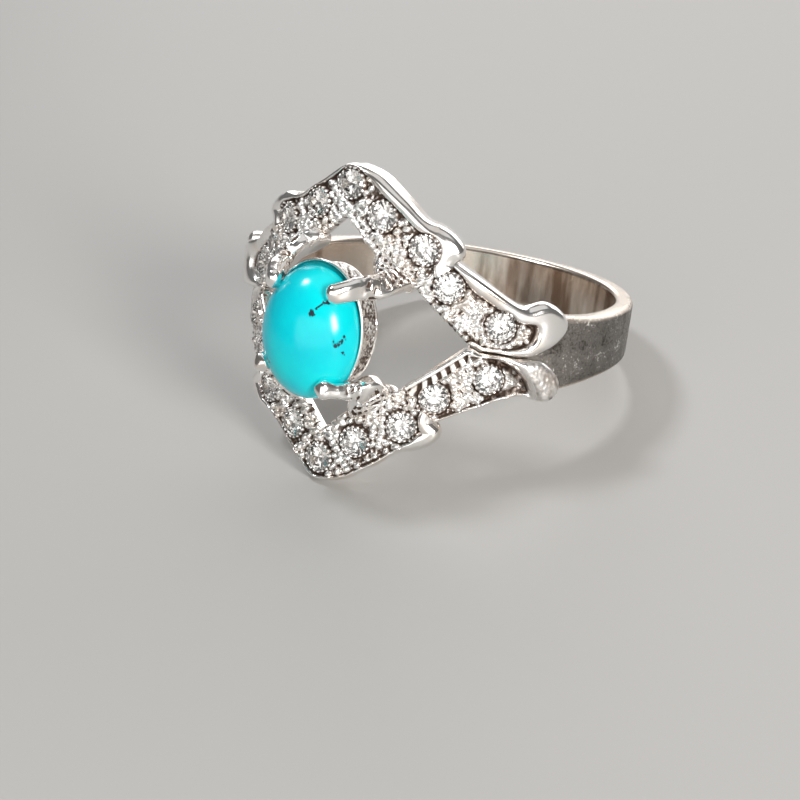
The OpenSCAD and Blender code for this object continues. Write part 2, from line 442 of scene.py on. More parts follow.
def curve_through(points, n):
    """A smooth line through a few points, evenly stepped."""
    pts = np.array(points, float)
    ext = np.vstack([2 * pts[0] - pts[1], pts, 2 * pts[-1] - pts[-2]])
    out = []
    for k in range(1, len(ext) - 2):
        a, b, c, d = ext[k - 1: k + 3]
        for t in np.linspace(0, 1, 40, endpoint=False):
            out.append(0.5 * (2 * b + (c - a) * t + (2 * a - 5 * b + 4 * c - d) * t * t
                              + (3 * b - a - 3 * c + d) * t ** 3))
    out.append(pts[-1])
    return evenly(np.array(out), n)


def evenly(line, n):
    length = np.concatenate([[0], np.cumsum(np.linalg.norm(np.diff(line, axis=0), axis=1))])
    even = np.linspace(0, length[-1], n)
    return np.stack([np.interp(even, length, line[:, c]) for c in range(line.shape[1])], -1)


def distance_to(line, s, w):
    """The true distance from each point to a line of short straight runs."""
    p = np.stack([s.ravel(), w.ravel()], -1)
    d = np.empty(len(p))
    a, b = line[:-1], line[1:]
    ab = b - a
    size = np.maximum((ab ** 2).sum(1), 1e-12)
    for i in range(0, len(p), 3000):
        q = p[i:i + 3000, None]
        t = np.clip(((q - a) * ab).sum(-1) / size, 0, 1)
        d[i:i + 3000] = np.sqrt(((q - a - t[..., None] * ab) ** 2).sum(-1).min(1))
    return d.reshape(s.shape)


def grain_field(inner, outer, stones, keep, seed):
    """Cast grains in uneven rows along the arm. Each is (s, w, radius, stretch, turn, drop)."""
    rng = np.random.default_rng(seed)
    n = len(inner)
    index = np.arange(n)
    length = np.concatenate([[0], np.cumsum(np.hypot(*np.diff(inner, axis=0).T))])
    spots = []
    for row in range(10):
        d = GRAIN_R * 0.8 + row * PITCH * 0.86
        for step in np.arange((row % 2) * PITCH / 2 + 0.05, length[-1], PITCH):
            k = np.interp(step, length, index)
            a = np.array([np.interp(k, index, inner[:, c]) for c in (0, 1)])
            b = np.array([np.interp(k, index, outer[:, c]) for c in (0, 1)])
            width = np.hypot(*(b - a))
            if d < width - 0.1:
                spots.append(a + (b - a) * d / width)
    spots = np.array(spots) + rng.uniform(-0.075, 0.075, (len(spots), 2))
    ok = keep(spots[:, 0], spots[:, 1]) > 0.6
    for c in stones:
        ok &= np.hypot(*(spots - np.array(c)).T) > RING_R + 0.16
    spots = spots[ok]
    k = len(spots)
    return np.column_stack([spots, GRAIN_R * rng.uniform(0.85, 1.35, k), rng.uniform(0.78, 1.28, k),
                            rng.uniform(0, math.pi, k), rng.uniform(-0.04, 0.07, k)])


def arm_surface(s, w, pave, stones, grains, seed):
    """Height over the arm's plain face, its painted light and shade (how bright each point is), and how
    polished each point is.
    """
    rough = noise(s * 8, w * 8, seed=seed) + 0.5 * noise(s * 17, w * 17, seed=seed + 1)
    h = pave * (-0.15 + 0.06 * rough)
    # painted shade: the floor between the grains is darker
    bright = 1 - pave * (0.8 - 0.45 * smooth(rough, -0.1, 0.8))
    polish = 1 - 0.75 * pave
    for gs, gw, gr, stretch, turn, drop in grains:
        near = (np.abs(s - gs) < gr * 1.35) & (np.abs(w - gw) < gr * 1.35)
        x, y = s[near] - gs, w[near] - gw
        along = (x * math.cos(turn) + y * math.sin(turn)) / stretch
        over = (-x * math.sin(turn) + y * math.cos(turn)) * stretch
        lift = gr * gr - along ** 2 - over ** 2
        top = np.sqrt(np.maximum(0, lift)) - 0.09 - drop + 0.022 * rough[near]
        here, lit = h[near], bright[near]
        on = (lift > 0) & (top > here)
        h[near] = np.where(on, top, here)
        # painted light and shade on each grain: brightest at its crown, darker toward its foot
        bright[near] = np.where(on, np.maximum(lit, np.sqrt(np.maximum(0, lift)) / gr * 1.5), lit)
    for k, (ss, sw) in enumerate(stones):
        d = np.hypot(s - ss, w - sw)
        turn = np.arctan2(w - sw, s - ss)
        notch = smooth(np.cos(turn * 18 + k), -0.2, 0.5)
        collar = np.sqrt(np.maximum(0, 0.07 ** 2 - (d - RING_R) ** 2))
        on = np.abs(d - RING_R) < 0.07
        h = np.where(on, collar * (0.75 + 0.5 * notch) - 0.015 - 0.035 * (1 - notch), h)
        # painted shade in the collar's notches
        bright = np.where(on, 0.35 + 0.65 * notch, bright)
        line = np.exp(-((d - RING_R - 0.10) / 0.035) ** 2)
        h = h - 0.07 * line
        # painted shade along the groove round each collar
        bright = bright - 0.85 * line
        well = d < RING_R - 0.05
        h = np.where(well, -0.10 - 0.62 * (1 - d / RING_R), h)
        # painted shade in the stone's seat, darkest at its edge
        bright = np.where(well, 0.62 - 0.5 * smooth(d, RING_R - 0.12, RING_R - 0.05), bright)
    return h, np.clip(bright, 0, 1), polish


def cushion(to_edge, to_pave):
    """The smooth rim between the edge and the grains swells with its own width."""
    swell = 0.7 * np.sqrt(np.maximum(0, to_edge) * np.maximum(0, to_pave))
    return 0.3 * np.tanh(swell / 0.3)


def soft_min(a, b):
    """The smaller of two values, with the change from one to the other rounded over."""
    sharp = 14
    return -np.log(np.exp(-sharp * a) + np.exp(-sharp * b)) / sharp


def rounded(distance, over):
    """From 1 at an edge to 0 at this distance from it, as a quarter circle."""
    x = np.clip(1 - distance / over, 0, 1)
    return 1 - np.sqrt(1 - x * x)


def arm(name, inner, outer, ease, stones, edge_line, inside, edge_r, radius, low_r, seed, signs, rows,
        bead=None, ladder=None, gap_of=None, shade_and_dull=None, swell=None):
    """One arm of the head: a detailed face, smooth walls toward the finger hole, and closed ends.

    inner and outer are matching lines of (s, w) points.
    inside(s, w, to_edge) is how far a point is within the grains.
    edge_r(s) gives the outer edge's rounding, sideways and down. bead scallops the inner edge.
    """
    q = spaced(rows, ease)
    plain_s = inner[:, None, 0] + (outer - inner)[:, None, 0] * q
    plain_w = inner[:, None, 1] + (outer - inner)[:, None, 1] * q
    s, w = plain_s, plain_w
    if bead is not None:
        w = w - bead[:, None] * np.clip(1 - q * 9, 0, 1)
    width = np.hypot(*(outer - inner).T)[:, None]
    d_in = q * width
    to_edge = distance_to(edge_line, plain_s, plain_w)
    g = inside(s, w, to_edge)
    pave = smooth(g, -0.01, 0.06)

    def keep(a, b):
        return smooth(inside(a, b, distance_to(edge_line, a, b)), 0.0, 0.12)

    grains = grain_field(inner, outer, stones, keep, seed)
    h, bright, polish = arm_surface(s, w, pave, stones, grains, seed)
    h = h + np.where(g < 0, cushion(to_edge, -g), 0)
    gap = 0.04 + 0 * s if gap_of is None else gap_of(s)
    groove = np.exp(-((g - gap * 0.5) / gap) ** 2)
    h = h - (0.05 + gap) * groove
    # painted shade along the groove between the grains and the smooth rim
    bright = np.clip(bright - 0.75 * groove, 0, 1)
    if ladder is not None:
        h, bright = ladder(s, w, d_in, h, bright)
    if shade_and_dull is not None:
        zone = shade_and_dull(s) * smooth(-g, 0.16, 0.3) * smooth(to_edge, 0.06, 0.16)
        # painted shade: the zone is painted darker; it is also rougher, with a faint texture
        bright = bright - zone * (0.54 - 0.20 * smooth(noise(s * 4.5, w * 4.5, seed=seed + 9), -0.5, 0.6))
        polish = polish * (1 - 0.85 * zone)
        h = h + zone * 0.014 * noise(s * 7, w * 7, seed=seed + 10)
    if swell is not None:
        h = h + swell(s)
    # rounded edges, above and below
    across, down = edge_r(s)
    h = h - down * rounded(to_edge, across)
    inner_round = 0.13
    h = h - inner_round * rounded(d_in, inner_round)
    base_r = low_r(s)
    room = radius - base_r
    base_r = base_r + np.maximum(0, room - 1.1) * rounded(to_edge, 0.5)
    # hollowed behind, so that the inner edge is thin
    hollow = (1 - smooth(d_in, 0.35, 1.7)) * (1 - smooth(np.abs(s), 7.4, 8.8))
    base_r = base_r + np.maximum(0, room - 0.55) * hollow
    base_r = np.minimum(base_r, np.minimum(radius - 0.36, radius + h - 0.08))
    top_r = radius + h
    # the walls' rows, closer together at their edges
    t = np.array([0.0, 0.05, 0.12, 0.22, 0.35, 0.5, 0.65, 0.78, 0.88, 0.95, 1.0])
    sx, sy = signs

    def wrap(a, b, r):
        return wrapped(sx * a, sy * b + droop(a), r)

    shell = Shell()
    marks = np.stack([bright, polish], -1)
    plain = np.array([1.0, 1.0])
    shell.grid(wrap(s, w, top_r), marks)
    shell.grid(wrap(plain_s, plain_w, base_r), plain, flip=True)

    def wall(i, turned):
        hi, lo, mk = top_r[i], base_r[i], marks[i]
        r = hi[:, None] * (1 - t) + lo[:, None] * t
        k = smooth(t, 0.0, 0.5)
        ws = w[i][:, None] * (1 - k) + plain_w[i][:, None] * k
        ss = s[i][:, None] + 0 * r
        fade = np.clip(1 - t * 5, 0, 1)[None, :, None]
        shell.grid(wrap(ss, ws, r), mk[:, None] * fade + plain * (1 - fade), flip=turned)

    wall((slice(None), 0), True)
    wall((slice(None), -1), False)
    wall((0, slice(None)), False)
    wall((-1, slice(None)), True)
    return shell.build(name)


def matched(inner, outer, n):
    return evenly(inner, n), evenly(outer, n)


def crown(name, up):
    half = 211
    a = np.linspace(0, INNER_ARC, 400)
    inner = np.stack([a, crown_in(a)], -1)
    b = np.linspace(0, 4.9, 300)
    lobe = curve_through([(4.9, float(crown_out(4.9, 0))), (5.55, 5.5), (6.05, 5.15), (6.34, 4.72),
                          (6.3, 4.28), (5.95, 3.98)], 90)[1:]
    inner = evenly(inner, half)
    tip = 0.0 if up > 0 else 0.26
    left, right = (evenly(np.vstack([np.stack([b, crown_out(b, full, tip)], -1), lobe]), half)
                   for full in ((-0.30, 0.30) if up > 0 else (-0.20, 0.42)))
    mirror = np.array([-1.0, 1.0])
    inner = np.vstack([inner[:0:-1] * mirror, inner])
    outer = np.vstack([left[:0:-1] * mirror, right])
    run = np.abs(np.arange(len(inner)) - (half - 1))
    bead = BEAD_DEPTH * np.abs(np.sin(run / (half - 1) * 4.9 * math.pi / BEAD_PITCH))
    stones = [POINT_STONE] + [(k * s, w) for s, w in STONES[:2] for k in (1, -1)]
    edge_line = evenly(outer, 400)

    def inside(s, w, to_edge):
        rim = 0.26 + 0.66 * smooth(np.abs(s), 4.0, 5.3) + (0.40 * smooth(s, 0.5, 1.9) if up > 0 else 0)
        return to_edge - rim

    def edge_r(s):
        lobe = smooth(np.abs(s), 3.9, 5.2)
        return 0.36 + 0.30 * lobe, 0.42 + 0.06 * lobe

    def low_r(s):
        # the lower point is thinner, so that the ring stands on its face and not on its inside
        return BORE_R + (0.0 if up > 0 else 0.92) * np.exp(-(s / 2.0) ** 2)

    return arm(name, inner, outer, 0.55, stones, edge_line, inside, edge_r, HEAD_R, low_r,
               11 if up > 0 else 23, (1, up), 76, bead=bead if up > 0 else None)


def last_stone(side, up):
    """Where the stone nearest the band sits on each arm."""
    if up < 0:
        return STONES[3]
    return (8.6, 1.22) if side > 0 else (8.0, 1.3)


def shoulder(name, side, up):
    n = 270
    a = np.linspace(4.15, 9.7, 400)
    b = np.linspace(5.74, 9.6, 300)
    # the line where the upper arm overlaps the lower one
    share = -up * 0.21 * smooth(a, 7.15, 7.9)
    inner = np.vstack([np.stack([a, shoulder_in(a) + share], -1),
                       curve_through([(9.7, 0.01 + share[-1]), (10.4, 0.02 + 0.75 * share[-1]), (11.1, 0.16),
                                      (11.65, 0.46), (12.1, 0.86), (12.36, 1.24), (12.44, 1.6)], 160)[1:]])
    if up > 0:
        lobe = [(9.9, 2.43), (10.2, 2.52), (10.6, 2.68), (11.05, 2.74), (11.55, 2.6), (12.04, 2.28),
                (12.35, 1.92), (12.44, 1.6)]
    else:
        lobe = [(9.95, 2.26), (10.5, 2.2), (11.0, 2.32), (11.5, 2.42), (11.95, 2.32), (12.28, 2.02),
                (12.44, 1.6)]
    outer = np.vstack([np.stack([b, shoulder_out(b)], -1),
                       curve_through([(9.6, float(shoulder_out(9.6)))] + lobe, 160)[1:]])
    edge_line = np.vstack([evenly(outer, 260), evenly(inner[inner[:, 0] > 7.2][::-1], 220)])
    inner, outer = matched(inner, outer, n)
    scallop = np.abs(np.sin(np.arange(n) / (n - 1) * 9.6 * math.pi / BEAD_PITCH))
    bead = BEAD_DEPTH * (1 - smooth(inner[:, 0], 6.8, 7.2)) * scallop

    def inside(s, w, to_edge):
        if up > 0:
            start, length = (8.6, 1.95) if side > 0 else (7.8, 1.5)
            end = np.hypot(np.maximum(0, s - start) / length, (w - 1.22) / 1.2)
            end = np.where(s > start, (1 - end) * 1.2, 1.0)
        else:
            end = 2.62 - np.hypot(np.maximum(0, s - 8.4), w - 3.1)
        if up > 0:
            rim = shoulder_out(np.minimum(s, 9.6)) - w - 0.28 - 0.6 * smooth(s, 5.6, 7.2)
            return soft_min(soft_min(to_edge - 0.28, end), rim)
        return soft_min(to_edge - (0.2 - 0.12 * smooth(1.4 - w, 0, 0.5)), end)

    def edge_r(s):
        lobe = smooth(s, 9.4, 10.4)
        return 0.32 + 0.16 * lobe, 0.42 - 0.06 * lobe

    # the groove's width, wide toward the lower shoulders' ends, where its painted shade is wide too
    def gap_of(s):
        return 0.04 + (0.04 if up > 0 else 0.27) * smooth(s, 7.6, 9.4)

    def low_r(s):
        return BORE_R + (BAND_R - BORE_R) * smooth(s, 8.9, 9.9)

    def rungs(s, w, d_in, h, bright):
        run = np.hypot(s - 4.15, w - 2.4)
        along = 1 - smooth(s, 7.05, 7.3)
        rim = (1 - smooth(d_in, 0.22, 0.27)) * along
        slots = smooth(d_in, 0.22, 0.27) * (1 - smooth(d_in, 0.60, 0.66)) * along
        wave = smooth(np.abs(((run / 0.53) % 1) - 0.5), 0.18, 0.25)
        h = h * (1 - rim) + 0.07 * rim
        bright = bright * (1 - rim) + rim
        # painted shade in the slots, the bars between them left bright
        return (h * (1 - slots) + (-0.28 + 0.30 * wave) * slots,
                bright * (1 - slots) + wave * slots)

    seed = {(1, 1): 5, (-1, 1): 6, (1, -1): 7, (-1, -1): 8}[(side, up)]
    stones = [STONES[2], last_stone(side, up)]
    return arm(name, inner, outer, 0.55, stones, edge_line, inside, edge_r, STEP_R, low_r, seed,
               (side, up), 70, bead=bead if up > 0 else None, ladder=rungs if up < 0 else None, gap_of=gap_of,
               # the lower shoulders' end lobes get painted shade and a rougher finish
               shade_and_dull=(lambda s: smooth(s, 9.7, 10.5)) if up < 0 else None,
               swell=(lambda s: 0.55 * smooth(s, 8.5, 9.9)) if up > side else None)


# ---------------------------------------------------------------- round stones
def stone_mesh(name, s, w, r, signs, seed):
    """A round brilliant: table, star, kite and girdle facets above, mains and halves below."""
    spin = 0.39 * seed
    R = STONE_R
    table, star, girdle = 0.62 * R, 0.82 * R, R
    top, mid, low = 0.2 * R * 1.6, 0.13 * R * 1.6, 0.02
    pts = [(0, 0, -0.84 * R)]
    for k in range(8):
        a = spin + k * math.pi / 4
        pts.append((table * math.cos(a), table * math.sin(a), top))
    for k in range(8):
        a = spin + (k + 0.5) * math.pi / 4
        pts.append((star * math.cos(a), star * math.sin(a), mid))
    for level in (low, -low):
        for k in range(16):
            a = spin + k * math.pi / 8
            pts.append((girdle * math.cos(a), girdle * math.sin(a), level))
    for k in range(8):
        a = spin + (k + 0.5) * math.pi / 4
        pts.append((0.42 * R * math.cos(a), 0.42 * R * math.sin(a), -0.5 * R))
    T, S, G, H, B = 1, 9, 17, 33, 49
    faces = [[T + k for k in range(8)]]
    for k in range(8):
        n = (k + 1) % 8
        faces.append([T + k, S + k, T + n])
        faces.append([T + n, S + k, G + (2 * k + 2) % 16, S + n])
        faces.append([S + k, G + (2 * k) % 16, G + (2 * k + 1) % 16])
        faces.append([S + k, G + (2 * k + 1) % 16, G + (2 * k + 2) % 16])
        faces.append([H + (2 * k) % 16, B + k, H + (2 * k + 1) % 16])
        faces.append([H + (2 * k + 1) % 16, B + k, H + (2 * k + 2) % 16])
        faces.append([H + (2 * k + 2) % 16, B + k, 0, B + n])
    for k in range(16):
        n = (k + 1) % 16
        faces.append([G + k, H + k, H + n, G + n])
    pts = np.array(pts)
    a = s / HEAD_R * signs[0]
    w = w * signs[1] + float(droop(s))
    right = np.array([math.cos(a), 0, -math.sin(a)])
    out = np.array([math.sin(a), 0, math.cos(a)])
    along = np.array([0, 1, 0])
    uwv = pts[:, :1] * right + pts[:, 1:2] * along + (pts[:, 2:] + r) * out + np.array([0, w, 0])
    return make(name, world(uwv[:, 0], uwv[:, 1], uwv[:, 2]), faces, smooth_faces=False)


# ---------------------------------------------------------------- band
def band(name):
    n = 820
    angle = np.linspace(BAND_FROM, 2 * math.pi - BAND_FROM, n)
    off = np.degrees(np.minimum(angle, 2 * math.pi - angle))
    # narrowest at the back, with a swell beside the shoulders
    half = (BAND_BACK_HALF + BAND_WIDENING * (1 + np.cos(angle))
            + BAND_SHOULDER_SWELL * np.exp(-((off - 58) / 20) ** 2))
    drop = BAND_BACK_RISE * smooth(off, 90, 150) - DROOP * (1 - smooth(off, 62, 105))
    # a rounded rectangle, as (edge, offset) pairs: edge scales with the half width
    thick, corner = (BAND_R - BORE_R) / 2, 0.3
    section = []
    for qx, qy, start in ((1, 1, 0), (-1, 1, 90), (-1, -1, 180), (1, -1, 270)):
        for a in np.radians(np.linspace(start, start + 90, 8)):
            section.append((qx, corner * (math.cos(a) - qx), qy * (thick - corner) + corner * math.sin(a)))
        if start in (0, 180):
            span = np.linspace(1, -1, 46)[1:-1] * (1 if start == 0 else -1)
            section += [(k, -k * corner, qy * thick) for k in span]
    edge, offset, through = np.array(section).T
    w = edge[None] * half[:, None] + offset[None]
    side_face = smooth(np.abs(w) / half[:, None], 0.84, 0.93)
    A = np.broadcast_to(angle[:, None], w.shape)
    T = np.broadcast_to(through / thick, w.shape)
    outside = smooth(T, 0.3, 0.95)
    arc = A * BAND_R
    x, y = arc * 0.8 + w * 0.6, w * 0.8 - arc * 0.6
    sand = noise(x * 1.1, y * 1.1, T, seed=3) + 0.7 * noise(x * 2.6, y * 2.6, T, seed=4)
    r = (BORE_R + BAND_R) / 2 + T * thick + outside * (0.012 * np.clip(sand, -1.5, 1.2) - 0.016)
    # brown in soft streaks across the inside, lighter over the half past the back
    streak = (noise(arc * 0.8, w * 0.16, seed=6) + 0.5 * noise(arc * 2.2, w * 0.3, seed=7)
              + 0.25 * noise(arc * 5, w, seed=8))
    inside_streaks = smooth(streak + 0.6 * smooth(A, 3.35, 3.8), -1.0, 0.9)
    # outside: lighter on the raised sand, painted shade in its pits
    bright = np.where(outside > 0.5, 0.5 + 0.22 * sand, inside_streaks)
    bright = bright * (1 - side_face) + side_face * (1.0 - 0.25 * outside)
    pts = world(r * np.sin(A), w + drop[:, None], r * np.cos(A))
    marks = np.stack([np.clip(bright, 0, 1), np.maximum(1 - outside, 0.8 * side_face)], -1)
    shell = Shell()
    shell.grid(pts, marks, wrap_j=True, flip=True)
    for i, turned in ((0, False), (-1, True)):
        mid = pts[i].mean(0)
        k = np.linspace(0, 1, 5)[:, None, None]
        ring = mid * (1 - k) + pts[i][None] * k
        shell.grid(ring, np.ones(2), wrap_j=True, flip=turned)
    return shell.build(name)


# ---------------------------------------------------------------- basket and cabochon
def oval_grid(levels, n):
    """Rings of the basket's oval: each level is (how far the oval grows, v)."""
    th = np.linspace(0, 2 * math.pi, n, endpoint=False)
    rows = []
    for grow, v in levels:
        rows.append(np.stack([(BASKET_A + grow) * np.cos(th), (BASKET_B + grow) * np.sin(th) + BASKET_SHIFT,
                              np.full(n, v)], -1))
    return th, np.array(rows)


def basket(name):
    n = 420
    k = np.linspace(0, 1, 44)
    outer = [(-0.24 + 0.27 * t ** 1.4, BASKET_LOW + (BASKET_TOP - 0.02 - BASKET_LOW) * t) for t in k]
    lip = [(0.05, BASKET_TOP + 0.01), (0.08, BASKET_TOP + 0.05), (0.085, BASKET_TOP + 0.10),
           (0.07, BASKET_TOP + 0.15), (0.03, BASKET_TOP + 0.18), (-0.03, BASKET_TOP + 0.18),
           (-0.06, BASKET_TOP + 0.14)]
    seat = [(-0.07, BASKET_TOP + 0.01), (-0.4, BASKET_TOP), (-0.66, BASKET_TOP - 0.02)]
    inner = [(-0.7 - 0.3 * t, BASKET_TOP - 0.05 - (BASKET_TOP - 0.1 - BASKET_LOW) * t)
             for t in np.linspace(0, 1, 12)]
    foot = [(-0.97, BASKET_LOW + 0.01), (-0.8, BASKET_LOW), (-0.5, BASKET_LOW), (-0.36, BASKET_LOW + 0.01)]
    levels = outer + lip + seat + inner + foot
    th, rows = oval_grid(levels, n)
    mean_r = 3.1
    arc = np.broadcast_to(th * mean_r, rows.shape[:2])
    v = rows[..., 2]
    on_wall = np.zeros(rows.shape[:2])
    on_wall[: len(outer)] = (smooth(k, 0.03, 0.08) * (1 - smooth(k, 0.95, 0.99)))[:, None]
    # the bark: two scales of ridges, bent by a third noise
    bend = 0.25 * noise(arc * 3, v * 3, seed=30)
    ridges = 0.75 * noise(arc * 4.4 + bend * 6, v * 2.2 + bend, seed=31) \
        + 0.95 * noise(arc * 8.5 + bend * 9, v * 6.5 - bend * 5, seed=32)
    ridges = np.clip(ridges, -1.4, 1.4)
    normal = np.stack([rows[..., 0] / (BASKET_A ** 2), (rows[..., 1] - BASKET_SHIFT) / (BASKET_B ** 2),
                       0 * v], -1)
    normal /= np.linalg.norm(normal, axis=-1, keepdims=True)
    rows = rows + normal * (on_wall * (ridges * 0.06 - 0.05))[..., None]
    # painted shade: the bark wall is painted dark, darkest between its ridges
    bright = 2 - on_wall * (1.78 - 0.5 * smooth(ridges, -0.5, 0.6))
    marks = np.stack([bright, 1 - on_wall], -1)
    shell = Shell()
    shell.grid(world(rows[..., 0], rows[..., 1], rows[..., 2]), marks, wrap_i=True, wrap_j=True)
    return shell.build(name)


def cabochon(name):
    n, m = 160, 64
    th = np.linspace(0, 2 * math.pi, n, endpoint=False)
    # rings from the middle of the underside, round the edge and over the dome
    rows = []
    for f in (0.002, 0.3, 0.6, 0.85, 0.94):
        rows.append((f, CAB_LOW))
    for f, v in ((0.962, 0.012), (0.974, 0.04), (0.985, 0.12), (0.995, 0.22)):
        rows.append((f, CAB_LOW + v))
    for psi in np.linspace(0, math.pi / 2 * 0.995, m):
        rows.append((math.cos(psi), DOME_LOW + CAB_DOME * math.sin(psi)))
    f = np.array([r[0] for r in rows])[:, None]
    v = np.broadcast_to(np.array([r[1] for r in rows])[:, None], (len(rows), n))
    u, w = CAB_A * f * np.cos(th) + CAB_SHIFT[0], CAB_B * f * np.sin(th) + CAB_SHIFT[1]
    dent = 1 + 0.004 * noise(u * 0.9, w * 0.9, v * 0.9, seed=51)
    pts = world(u * dent, w * dent, v)
    shell = Shell()
    shell.grid(pts, np.ones(2), wrap_j=True)
    for i, turned in ((0, True), (-1, False)):
        mid = pts[i].mean(0)
        ring = np.stack([pts[i], np.broadcast_to(mid, pts[i].shape)])
        shell.grid(ring, np.ones(2), wrap_j=True, flip=turned)
    return shell.build(name)


# ---------------------------------------------------------------- prongs and bars
def tube(name, mirror, spine, side, half_w, half_t, m, relief, power=0.8):
    """A closed tube along a spine, drawn for the upper right and mirrored into its own quarter."""
    run = np.gradient(spine, axis=0)
    run /= np.linalg.norm(run, axis=1, keepdims=True)
    side = side - run * (side * run).sum(1, keepdims=True)
    side /= np.linalg.norm(side, axis=1, keepdims=True)
    face = -np.cross(run, side)
    th = np.linspace(0, 2 * math.pi, m, endpoint=False)
    c, s = np.cos(th), np.sin(th)
    cx, sy = np.sign(c) * np.abs(c) ** power, np.sign(s) * np.abs(s) ** power
    flat = (spine[:, None] + side[:, None] * (half_w[:, None] * cx)[..., None]
            + face[:, None] * (half_t[:, None] * sy)[..., None])
    out = side[:, None] * cx[None, :, None] + face[:, None] * sy[None, :, None]
    out = out / np.linalg.norm(out, axis=-1, keepdims=True)
    depth, marks = relief(flat, cx, sy)
    pts = (flat + out * depth[..., None]) * mirror
    shell = Shell()
    shell.grid(world(pts[..., 0], pts[..., 1], pts[..., 2]), marks, wrap_j=True)
    for i, turned in ((0, True), (-1, False)):
        mid = pts[i].mean(0)
        ring = np.stack([pts[i], np.broadcast_to(mid, pts[i].shape)])
        shell.grid(world(ring[..., 0], ring[..., 1], ring[..., 2]), marks[i][None], wrap_j=True, flip=turned)
    return shell.build(name)


def fix_normals(o):
    """Faces point outward, whichever way the quadrant was mirrored."""
    bm = bmesh.new()
    bm.from_mesh(o.data)
    bmesh.ops.recalc_face_normals(bm, faces=bm.faces)
    bm.to_mesh(o.data)
    bm.free()
    return o


# centre lines of the claws, from the bar's end to the tip, for the upper pair and the lower pair
CLAW_UPPER = [(3.03, 2.8, 10.6), (2.95, 2.58, 11.2), (2.72, 2.5, 11.75), (2.42, 2.44, 12.45),
              (2.15, 2.28, 13.05), (1.56, 2.02, 13.7)]
CLAW_LOWER = [(3.03, 2.82, 10.6), (2.95, 2.68, 11.2), (2.75, 2.66, 11.75), (2.5, 2.65, 12.4),
              (2.16, 2.6, 13.05), (1.48, 2.52, 13.66)]
# how the claws and bars face where they meet
CLAW_FOOT_SIDE = np.array([-0.35, 1.0, 0.0])


def prong(name, side, up):
    line = CLAW_UPPER if up > 0 else CLAW_LOWER
    if side < 0 and up < 0:
        # the lower left claw leans a little further
        line = [(u + 0.05 * k, w - 0.09 * k, v - 0.03 * k) for k, (u, w, v) in enumerate(line)]
    spine = curve_through(line, 90)
    t = np.linspace(0, 1, len(spine))
    side_dir = CLAW_FOOT_SIDE * (1 - t[:, None]) + np.array([0.25, 1.0, 0.0]) * t[:, None]
    tip = np.sqrt(np.clip(1 - (np.clip(t - 0.88, 0, 1) / 0.12) ** 2, 0, 1)) * 0.985 + 0.015
    tip = tip * (0.55 + 0.45 * smooth(t, 0.0, 0.2))
    if up > 0:
        half_w, half_t = (0.66 - 0.17 * t) * tip, (0.48 - 0.10 * t) * tip
    else:
        # the lower claws end in a ball
        ball = np.exp(-((t - 0.88) / 0.1) ** 2)
        half_w = (0.56 - 0.26 * t + 0.17 * ball) * tip
        half_t = (0.44 - 0.16 * t + 0.15 * ball) * tip
    seed = 61 + side + 3 * up

    def relief(flat, cx, sy):
        x, y, z = flat[..., 0], flat[..., 1], flat[..., 2]
        waves = noise(x * 2.4, y * 2.4, z * 2.4, seed=seed)
        pit = 1.3 * noise(x * 5.5, y * 5.5, z * 5.5, seed=seed + 1)
        rough = ((1 - smooth(t, 0.40, 0.58)) if up > 0 else (1 - smooth(t, 0.5, 0.75)))[:, None]
        depth = 0.02 * waves + 0.06 * rough * np.clip(pit, -0.9, 0.4)
        # painted shade in the pits of the textured foot, faint on the rest
        bright = 1 - smooth(-pit, 0.1, 0.6) * np.maximum(rough, 0.15)
        return depth, np.stack([bright, np.full(depth.shape, 0.9)], -1)

    return tube(name, np.array([side, up, 1.0]), spine, side_dir, half_w, half_t, 44, relief)


